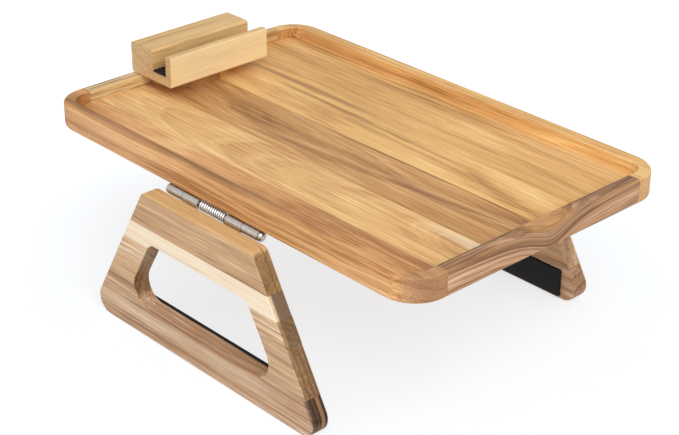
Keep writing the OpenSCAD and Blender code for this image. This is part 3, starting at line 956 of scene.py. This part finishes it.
STAVES = (
    Timber(
        OCHRE, 1.0, pith=(0, -96, 196), ring_width=5.0, band=0.55, line=0.35, wander=7,
        stripes=(
            Stripe(-118.8, 3.2, BROWN, 0.62, 1.6, 0.002, stop=150, fade=190, wander=0.5),
            # The dark line at -115.2 runs along the near rim's inner edge and the foot of its
            # wall: painted shade where the rim meets the floor.
            Stripe(-115.2, 0.9, DARK_LINE, 0.85, 0.9, stop=120, fade=90, wander=0.5),
            Stripe(-117.6, 0.35, DARK_LINE, 0.7, 0.7, 0.004, stop=60, fade=60, wander=0.7),
            # The pale stripe at -124.8 lies on the tray's near side face and makes its left part
            # paler: painted light on that face.
            Stripe(-124.8, 0.8, srgb(226, 174, 136), 0.5, 1.0, stop=-30, fade=120, wander=0.2),
            Stripe(-108.5, 3.6, BROWN, 0.9, 3, stop=20, fade=110),
            Stripe(-88.5, 2.2, BROWN, 0.7, 3.0, start=20, fade=60),
            Stripe(-101, 0.8, BROWN, 0.5, 2.0, 0.03, start=-190, stop=40, wander=2),
            Stripe(194, 9, srgb(150, 114, 88), 0.75, 9, across=X_ALONG, wander=3),
        ),
    ),
    Timber(
        HONEY, 2.0, pith=(0, -62, 105), slant=(0, 0.03, 0.08), ring_width=6.0, line=0.22,
        ring=0.3,
        stripes=(Stripe(-41.5, 3.4, SAP, 0.9, 4.0, -0.03, start=112, fade=66, wander=2),),
    ),
    Timber(
        WALNUT, 3.0, pith=(0, 40, 60), slant=(0, 0.05, 0.10), ring_width=5.0, band=0.4,
        wander=12,
        stripes=(
            Stripe(6.2, 0.5, DARK_LINE, 0.8, 0.7, 0.022, start=-40, wander=0.4),
            Stripe(-22, 1.0, GOLDEN, 0.55, 2.5, 0.10, start=-60, wander=4),
            Stripe(-34, 0.6, GOLDEN, 0.6, 2.0, 0.14, start=50, wander=3),
            Stripe(-30, 0.5, GOLDEN, 0.6, 2.0, 0.05, start=90, wander=4),
            Stripe(-26, 1.4, UMBRE, 0.55, 4, 0.10, start=-80, stop=150, wander=6),
            Stripe(-14, 0.8, UMBRE, 0.45, 3, start=-120, stop=60, wander=6),
            Stripe(-10, 0.7, BROWN, 0.6, 1.5, -0.05, start=-20, stop=140, wander=4),
            Stripe(-30, 1.0, BROWN, 0.35, 3, -0.04, start=-100, stop=90, wander=4),
            Stripe(-18, 9, srgb(214, 166, 108), 0.4, 8, stop=-70, fade=50, wander=4),
        ),
    ),
    Timber(
        STRAW, 4.0, pith=(0, 60, 30), slant=(0, -0.04, 0.04), ring_width=7.0, band=0.34,
        line=0.14, wander=10, ring=0.14, cloud=1.1,
        stripes=(
            Stripe(36, 0.8, DARK_LINE, 0.6, 2.0, -0.03, start=-130, stop=60, wander=2),
            Stripe(30, 0.5, BROWN, 0.5, 2.0, -0.05, start=-60, stop=170, wander=2),
        ),
    ),
    Timber(
        MAIZE, 5.0, pith=(0, 120, 60), ring_width=7.0, band=0.38, line=0.16, ring=0.14,
        cloud=1.0, wander=10,
        stripes=(
            Stripe(48.5, 1.4, DARK_LINE, 0.75, 2.4, start=-190, stop=10, fade=70, wander=1),
        ),
    ),
    Timber(
        AMBER, 6.0, pith=(0, 190, 110), ring_width=5.0, band=0.45,
        stripes=(
            Stripe(99, 4.0, BROWN, 0.34, 6, 0.03, start=-150, stop=80, fade=60, wander=3),
            Stripe(120, 5.5, srgb(190, 136, 78), 0.6, 2, stop=-80, fade=80),
            Stripe(103, 8, srgb(244, 206, 150), 0.35, 5, start=40, fade=80, wander=2),
        ),
    ),
)


def top_line(reach: float, half_width: float, start: float, stop: float) -> Stripe:
    """A dark line along the top of the right rail, at reach from the tray's middle."""
    return Stripe(-reach, half_width, srgb(84, 54, 32), 0.85, 0.9, 0.0, start, stop, 18, 0.8)


RIGHT_RAIL = Timber(
    UMBER, 8.0, pith=(0, -150, 250), band=0.42, line=0.55, ring=0.4, wander=5,
    grain=Grain.ACROSS_TRAY, bow=(0, 0, -14), bow_at=4, bow_reach=24,
    seam=(Y_ALONG, -RAIL_HALF_L, RAIL_HALF_L),
    stripes=(
        Stripe(143.0, 4.4, srgb(216, 160, 90), 0.6, 1.6, across=UP, wander=1.0),
        Stripe(131.6, 1.2, srgb(140, 96, 50), 0.55, 1.6, across=UP, wander=1.0),
        Stripe(128.6, 0.35, ARC, 0.7, 0.8, across=UP, wander=1.2),
        Stripe(135.6, 0.5, ARC, 0.6, 1.0, across=UP, wander=1.6),
        Stripe(123.0, 0.4, ARC, 0.5, 1.2, across=UP, wander=1.6, start=-70, stop=60),
        Stripe(126.0, 0.3, ARC, 0.5, 0.8, across=UP, wander=1.4),
        Stripe(138.4, 0.35, ARC, 0.55, 0.8, across=UP, wander=1.4),
        top_line(185.8, 0.8, -200, -16),
        top_line(188.8, 0.4, -200, -40),
        top_line(192.0, 0.4, -90, -40),
        top_line(186.2, 1.0, 24, 200),
        top_line(189.0, 0.6, 34, 200),
        top_line(191.8, 0.5, 44, 130),
    ),
)
LEFT_RAIL = Timber(
    OLIVE, 9.0, pith=(0, 230, 120), ring_width=5.0, band=0.6, ring=0.45, wander=9,
    grain=Grain.ACROSS_TRAY, seam=(Y_ALONG, -RAIL_HALF_L, RAIL_HALF_L),
    stripes=(Stripe(190, 8, srgb(214, 160, 98), 0.8, 3, start=48, fade=14),),
)
# The pale stripe at 144.7 lies on the block's +X face, x = -144.7: painted light that turns that
# face near cream, and a painted highlight along its edges.
HOLDER = Timber(
    BEECH, 21.0, pith=(0, 150, 240), ring_width=5.5, band=0.35, ring=0.18, wander=4, cloud=0.4,
    grain=Grain.ACROSS_TRAY, end_tone=(0.90, 0.93, 1.06),
    stripes=(Stripe(144.7, 0.5, srgb(255, 232, 184), 1.0, 0.6, wander=0.1),),
)


# Sub-assemblies


@dataclass(frozen=True)
class Workshop:
    """What every sub-assembly is made from: the frame's nodes and the finishes they share."""

    nodes: dict[str, Piece]
    slots: dict[str, str]
    effects: Effects
    rubber: Material
    plate: Material
    wire: Material


@dataclass(frozen=True)
class StavedTray:
    """The tray board: six staves along it and a cross-grain rail let into each end."""

    staves: tuple[Timber, ...] = STAVES
    right_rail: Timber = RIGHT_RAIL
    left_rail: Timber = LEFT_RAIL

    def make(self, shop: Workshop) -> list[Piece]:
        """Gives each stave and each end rail its own timber.

        Args:
            shop: the frame's nodes and the shared finishes.

        Returns:
            The pieces.
        """
        edges = list(TRAY_JOINTS)
        edges[0], edges[-1] = edges[0] - OUT_OF_SIGHT, edges[-1] + OUT_OF_SIGHT
        boards = {}
        for number, timber in enumerate(self.staves):
            seam = (Y_ALONG, edges[number], edges[number + 1])
            boards[f"tray_stave_{number + 1}"] = replace(timber, seam=seam)
        boards["right_end_rail"] = self.right_rail
        boards["left_end_rail"] = self.left_rail
        return [
            wear(shop.nodes[name], timber.dress(name, shop.effects))
            for name, timber in boards.items()
        ]


@dataclass(frozen=True)
class Leg:
    """A trapezoid leg of five courses of staves, with a window and a soft pad."""

    side: Side
    pad: EasedSlab = EasedSlab(214.2, 23.0, 2.5, corner_r=1.2, ease=0.7)
    pad_low_z: float = 2.5
    ease: float = 0.9
    ease_steps: int = 3
    screw_room: float = 5.0
    joint_room: float = 0.1
    wall_tilt: float = 0.1
    face_tilt: float = 0.9

    def timbers(self) -> dict[str, Timber]:
        """Timber of each board by the last part of its node's name.

        The front leg's right end is the one that shows its dark heartwood.

        Returns:
            The timbers, from the top course to the foot.
        """
        front = self.side is Side.FRONT
        heart = 1.0 if front else 0.0
        y = self.side.value * LEG_MIDDLE_Y
        seed = 11 if front else 51
        # shade darkens the end grain of the two left boards, which shows as the window's left
        # wall: painted shade inside the window.
        shade = (0.38, 0.31, 0.25)
        olive = (0.42, 0.38, 0.28) if front else (0.92, 0.90, 0.86)
        char = (0.27, 0.21, 0.17) if front else (0.75, 0.66, 0.58)
        black = srgb(22, 12, 6)
        behind = Stripe(y * 0.987, 5.4, srgb(84, 58, 36), 0.9 * heart, 1.4, start=66, fade=6)
        burnt = Stripe(
            112.3, 1.8, srgb(40, 24, 14), 0.85 if front else 0.15, 0.8, across=LEG_SLOPE,
            wander=0.3,
        )
        return {
            "top_stave": Timber(
                ROSE if front else STRAW, seed, pith=(0, y * 1.5, 170), ring_width=3.5,
                band=0.36, ring=0.3, wander=5, end_tone=olive,
                stripes=(
                    Stripe(120.6, 1.2, srgb(228, 184, 112), 0.7, 1.0, across=UP),
                    Stripe(y * 0.985, 0.35, DARK_LINE, 0.8, 0.6, start=56, fade=4),
                ),
            ),
            "shoulder_stave": Timber(
                CREAM, seed + 1, pith=(0, y, 190), ring_width=6, band=0.3, line=0.2, ring=0.12,
                cloud=0.3, stripes=(behind, behind),
            ),
            "upper_left": Timber(
                BISCUIT, seed + 2, pith=(0, y * 1.4, 20), band=0.36, line=0.28, end_tone=shade,
            ),
            "upper_right": Timber(
                BISCUIT if front else CREAM, seed + 3, pith=(0, y * 1.3, 10), band=0.4,
                end_tone=olive, stripes=(behind,),
            ),
            "lower_left": Timber(
                HAZEL, seed + 4, pith=(0, y * 1.6, 60), band=0.4, end_tone=shade,
            ),
            "lower_right": Timber(
                FAWN, seed + 5, pith=(0, y * 0.6, 70), band=0.45, end_tone=olive,
                stripes=tuple(
                    Stripe(y * part, 0.5, DARK_LINE, 0.8 * heart, 0.8, start=80, fade=6)
                    for part in (0.965, 0.99, 1.02)
                ),
            ),
            "foot_stave": Timber(
                CLAY, seed + 6, pith=(0, y * 1.2, -50), band=0.28, line=0.24, ring=0.3,
                cloud=0.5, end_tone=char,
                stripes=(
                    Stripe(17, 2.2, SAP, 0.34, 4, -0.012, start=-150, stop=104, across=UP),
                    Stripe(7, 1.2, BROWN, 0.4, 3, start=-60, stop=104, across=UP),
                    burnt,
                    Stripe(14, 10, srgb(230, 192, 154), 0.35, 6, stop=-60, fade=60, across=UP),
                    Stripe(y * 0.985, 1.1, srgb(190, 142, 92), 0.7 * heart, 0.9, start=104,
                           fade=4, wander=0.4),
                    *(Stripe(y * part, 0.5, black, 0.85 * heart, 0.6, start=104, fade=4,
                             wander=0.5) for part in (0.966, 1.002, 1.03)),
                ),
            ),
        }

    def is_eased(self, edge: bmesh.types.BMEdge) -> bool:
        """Whether an edge of a board is one that the maker's sander rounds.

        It lies between one of the leg's two broad faces and a wall, where the normals n have
        |n y| above 0.9 and below 0.1, and its middle is neither at a joint's height nor near a
        screw.

        Args:
            edge: the edge, in metres.

        Returns:
            True when it is rounded.
        """
        if len(edge.link_faces) != 2:
            return False
        tilt = sorted(abs(face.normal.y) for face in edge.link_faces)
        first, last = (vert.co / MM for vert in edge.verts)
        x, _, z = (first + last) / 2
        level = abs(first.z - last.z) < MM
        to_joint = min(abs(z - joint) for joint in LEG_JOINTS[1:-1])
        to_screw = min(math.hypot(x - at, z - HINGE_Z + reach) for at, reach in SCREW_PLACES)
        at_joint = level and to_joint < self.joint_room
        borders = tilt[0] < self.wall_tilt and tilt[1] > self.face_tilt
        return borders and not at_joint and to_screw >= self.screw_room

    def board(self, name: str, node: Piece) -> Piece:
        """A copy of a board with its long edges rounded, where the frame has them square.

        Args:
            name: the board's name.
            node: the frame's node that it takes the place of.

        Returns:
            The board, which isn't yet on any body.
        """
        mesh = node.data.copy()
        mesh.name = name
        work = bmesh.new()
        work.from_mesh(mesh)
        bmesh.ops.remove_doubles(work, verts=work.verts, dist=SAME_PLACE)
        bmesh.ops.dissolve_limit(work, angle_limit=FLAT_ANGLE, verts=work.verts, edges=work.edges)
        weight = work.edges.layers.float.new("bevel_weight_edge")
        for edge in work.edges:
            if self.is_eased(edge):
                edge[weight] = 1.0
        work.to_mesh(mesh)
        work.free()
        board = bpy.data.objects.new(name, mesh)
        bpy.context.scene.collection.objects.link(board)
        bevel = board.modifiers.new("eased_edges", "BEVEL")
        bevel.limit_method, bevel.width = "WEIGHT", self.ease * MM
        bevel.segments = self.ease_steps
        bevel.offset_type, bevel.use_clamp_overlap = "OFFSET", True
        return board

    def make(self, shop: Workshop) -> list[Piece]:
        """Makes each board with eased edges and its own timber, and makes the pad.

        Args:
            shop: the frame's nodes and the shared finishes.

        Returns:
            The pieces.
        """
        label, sign = self.side.label, float(self.side.value)
        edges = [LEG_JOINTS[0] + OUT_OF_SIGHT, *LEG_JOINTS[1:-1], -OUT_OF_SIGHT]
        courses = ["top", "shoulder", "upper", "lower", "foot"]
        pieces = []
        for part, timber in self.timbers().items():
            row = courses.index(part.split("_")[0])
            name = f"{label}_leg_{part}"
            seamed = replace(timber, seam=(UP, edges[row + 1], edges[row]))
            board = self.board(f"{name.removesuffix('_stave')}_board", shop.nodes[name])
            wear(board, seamed.dress(name, shop.effects))
            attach(board, f"{label}_leg")
            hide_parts(name)
            pieces.append(board)
        axes = np.array([X_ALONG, UP, (0.0, sign, 0.0)])
        face_y = sign * (LEG_INNER_Y - self.pad.depth)
        surface = self.pad.surface().placed(
            axes, (0.0, face_y, self.pad_low_z + self.pad.height / 2)
        )
        pad = surface.make(f"{label}_soft_pad", "black_rubber", shop.rubber, f"{label}_leg")
        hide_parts(f"{label}_grip_pad")
        return [*pieces, pad]


@dataclass(frozen=True)
class SpringHinge:
    """Butt hinge with a torsion spring between its knuckles."""

    side: Side
    spring: TorsionSpring = TorsionSpring()
    screw: WoodScrew = WoodScrew()
    leaf_t: float = 1.5

    def screws(self, on_leg: bool) -> Surface:
        """The four screws of one leaf, each turned a little differently.

        Args:
            on_leg: whether they go into the leg, and not up into the tray.

        Returns:
            All four as one surface.
        """
        sign = float(self.side.value)
        pieces = []
        for number, (x, reach) in enumerate(SCREW_PLACES):
            turn = math.radians(23 + 41 * number + 17 * on_leg)
            c, s = math.cos(turn), math.sin(turn)
            if on_leg:
                axes = np.array([[c, 0, s], [-s, 0, c], [0, sign, 0]])
                origin = (x, sign * (LEG_INNER_Y - self.leaf_t), HINGE_Z - reach)
            else:
                axes = np.array([[c, s, 0], [-s, c, 0], UP])
                origin = (x, sign * (HINGE_Y - reach), UNDER_Z - self.leaf_t)
            pieces.append(self.screw.surface().placed(axes, origin))
        return sum(pieces[1:], pieces[0])

    def make(self, shop: Workshop) -> list[Piece]:
        """Makes the spring and the screws, and finishes the leaves and the pin.

        Args:
            shop: the frame's nodes and the shared finishes.

        Returns:
            The pieces.
        """
        label, plate = self.side.label, shop.plate
        pieces = [
            wear(shop.nodes[f"{label}_hinge_{part}"], plate)
            for part in ("tray_leaf", "leg_leaf", "pin")
        ]
        axis = (0.0, self.side.value * HINGE_Y, HINGE_Z)
        wound = self.spring.surface(axis, self.side)
        spring = wound.make(f"{label}_torsion_spring", "spring_steel", shop.wire)
        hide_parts(f"{label}_hinge_spring")
        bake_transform(spring)
        pieces.append(spring)
        for part, body in (("tray", "tray"), ("leg", f"{label}_leg")):
            surface = self.screws(part == "leg")
            screws = surface.make(f"{label}_{part}_wood_screws", "hinge_steel", plate, body)
            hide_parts(f"{label}_{part}_screws")
            pieces.append(screws)
        return pieces


@dataclass(frozen=True)
class PhoneHolder:
    """Slotted block on a pivot, with a soft strip on the slot's floor."""

    timber: Timber = HOLDER
    strip: EasedSlab = EasedSlab(15.9, 96.0, 1.5, corner_r=0.8, ease=0.45)
    strip_low: Point = (-159.75, 1.0, 153.3)
    bolt: Steel = Steel(srgb(150, 150, 154), 0.28, (1.0, 1.0, 6.0))
    insert: Steel = Steel(srgb(214, 176, 104), 0.25, (1.0, 1.0, 6.0))
    washer: Rubber = Rubber(srgb(34, 34, 36), 0.42, 3.0, 0.05)

    def make(self, shop: Workshop) -> list[Piece]:
        """Finishes the block and its pivot, and makes the strip.

        Args:
            shop: the frame's nodes and the shared finishes.

        Returns:
            The pieces.
        """
        nodes, effects = shop.nodes, shop.effects
        block = self.timber.dress("phone_holder_block", effects)
        surface = self.strip.surface().placed(np.eye(3), self.strip_low)
        strip = surface.make("slot_floor_strip", "black_rubber", shop.rubber, "phone_holder")
        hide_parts("phone_slot_pad")
        steel = self.bolt.dress("pivot_steel", effects)
        return [
            wear(nodes["phone_holder_block"], block),
            strip,
            wear(nodes["pivot_bolt"], steel),
            wear(nodes["pivot_head_washer"], steel),
            wear(nodes["pivot_insert"], self.insert.dress("turned_brass", effects)),
            wear(nodes["pivot_washer"], self.washer.dress("black_nylon", effects)),
        ]


# Studio


@dataclass(frozen=True)
class SoftLamp:
    """A square soft lamp that faces the object, with its place and side in metres."""

    name: str
    at: Point
    side: float
    watts: float
    aim: Point = (0.0, 0.0, 0.08)

    def hang(self) -> None:
        """Makes the lamp."""
        data = bpy.data.lights.new(self.name, "AREA")
        data.shape, data.size, data.energy = "SQUARE", self.side, self.watts
        lamp = bpy.data.objects.new(self.name, data)
        lamp.location = self.at
        way = Vector(self.aim) - Vector(self.at)
        lamp.rotation_euler = way.to_track_quat("-Z", "Y").to_euler()
        bpy.context.scene.collection.objects.link(lamp)


@dataclass(frozen=True)
class Studio:
    """Camera, lamps, world and floor. Lengths are in metres and angles in radians."""

    camera_at: Point = (0.8238638, -0.7733331, 0.6617370)
    yaw: float = 0.8207059
    pitch: float = 0.4795554
    roll: float = 0.00488835
    lens: float = 90.415
    sensor: float = 36.0
    sight: tuple[float, float] = (0.01, 50.0)
    sky: float = 0.55
    floor_reach: float = 12.0
    floor_colour: Colour = (0.885, 0.945, 1.0)
    glow_colour: Colour = (0.985, 1.0, 1.02)
    glow_strength: float = 1.13
    floor_lift: float = 0.62
    floor_fade: tuple[float, float] = (0.2, 0.44)
    lamps: tuple[SoftLamp, ...] = (
        SoftLamp("key_lamp", (1.3, -0.7, 1.35), 1.3, 22.0),
        SoftLamp("front_lamp", (-0.75, -1.85, 0.95), 1.2, 5.0),
    )

    def set_camera(self) -> None:
        """Makes the camera that stands where the photograph was taken."""
        yaw, pitch, roll = self.yaw, self.pitch, self.roll
        back = Vector((math.sin(yaw) * math.cos(pitch), -math.cos(yaw) * math.cos(pitch),
                       math.sin(pitch)))
        right = Vector((math.cos(yaw), math.sin(yaw), 0.0))
        up = back.cross(right)
        tilted = math.cos(roll) * right + math.sin(roll) * up
        upright = -math.sin(roll) * right + math.cos(roll) * up
        data = bpy.data.cameras.new("camera")
        data.sensor_fit, data.sensor_width, data.lens = "HORIZONTAL", self.sensor, self.lens
        data.clip_start, data.clip_end = self.sight
        camera = bpy.data.objects.new("camera", data)
        turn = Matrix((tilted, upright, back)).transposed().to_4x4()
        camera.matrix_world = Matrix.Translation(Vector(self.camera_at)) @ turn
        bpy.context.scene.collection.objects.link(camera)
        bpy.context.scene.camera = camera

    def set_world(self) -> None:
        """A white sky at a plain level, which mirrors and the camera see as white."""
        world = bpy.data.worlds.new("studio_sky")
        world.use_nodes = True
        bpy.context.scene.world = world
        g = Graph(world.node_tree)
        rays = g.node("LightPath").outputs
        seen = g.math("MAXIMUM", rays["Is Camera Ray"], rays["Is Glossy Ray"])
        seen = g.math("MAXIMUM", seen, rays["Is Transmission Ray"])
        level = g.math("MULTIPLY_ADD", seen, 1.0 - self.sky, self.sky)
        sky = g.node("Background", {"Color": (1.0, 1.0, 1.0), "Strength": level})
        g.feed(g.node("OutputWorld").inputs["Surface"], sky.outputs[0])

    def set_floor(self) -> None:
        """A wide white floor that keeps the object's shadow and turns plain white far off."""
        r = self.floor_reach
        mesh = bpy.data.meshes.new("studio_floor")
        mesh.from_pydata([(-r, -r, 0), (r, -r, 0), (r, r, 0), (-r, r, 0)], [], [(0, 1, 2, 3)])
        material = bpy.data.materials.new("studio_floor")
        material.use_nodes = True
        g = Graph(material.node_tree)
        diffuse = g.node("BsdfDiffuse", {"Color": self.floor_colour})
        glow = {"Color": self.glow_colour, "Strength": self.glow_strength}
        plain = g.node("Emission", glow)
        rays = g.node("LightPath").outputs
        seen = g.math("MAXIMUM", rays["Is Camera Ray"], rays["Is Glossy Ray"])
        way = g.length(g.node("TexCoord").outputs["Object"])
        share = g.times(seen, g.smooth(way, *self.floor_fade, self.floor_lift, 1.0))
        both = g.node("MixShader", {0: share, 1: diffuse.outputs[0], 2: plain.outputs[0]})
        g.feed(g.node("OutputMaterial").inputs["Surface"], both.outputs[0])
        mesh.materials.append(material)
        floor = bpy.data.objects.new("studio_floor", mesh)
        bpy.context.scene.collection.objects.link(floor)

    def build(self) -> None:
        """Sets up the whole studio."""
        self.set_camera()
        self.set_world()
        self.set_floor()
        for lamp in self.lamps:
            lamp.hang()
        bpy.context.scene.view_settings.view_transform = "Standard"


def main() -> None:
    """Builds the studio, makes each sub-assembly round the frame and reports its pieces."""
    logging.basicConfig(level=logging.INFO, format="%(name)s: %(message)s")
    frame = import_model()
    effects = Effects()
    shop = Workshop(
        nodes=frame["nodes"],
        slots={part["node"]: part["material_slot"] for part in frame["record"]["subparts"]},
        effects=effects,
        rubber=Rubber(srgb(14, 14, 15), 0.7, 1.4, 0.5).dress("black_rubber", effects),
        plate=Steel(srgb(186, 180, 174), 0.20, (0.8, 3.0, 3.0)).dress("plated_steel", effects),
        wire=Steel(srgb(224, 224, 225), 0.12, (0.8, 0.8, 0.8)).dress("spring_wire", effects),
    )
    Studio().build()
    assemblies = [StavedTray()]
    for side in Side:
        assemblies += [Leg(side), SpringHinge(side)]
    for assembly in [*assemblies, PhoneHolder()]:
        for piece in assembly.make(shop):
            LOG.info("%s: %s, %d faces", type(assembly).__name__, piece.name,
                     len(piece.data.polygons))


if __name__ == "__main__":
    main()
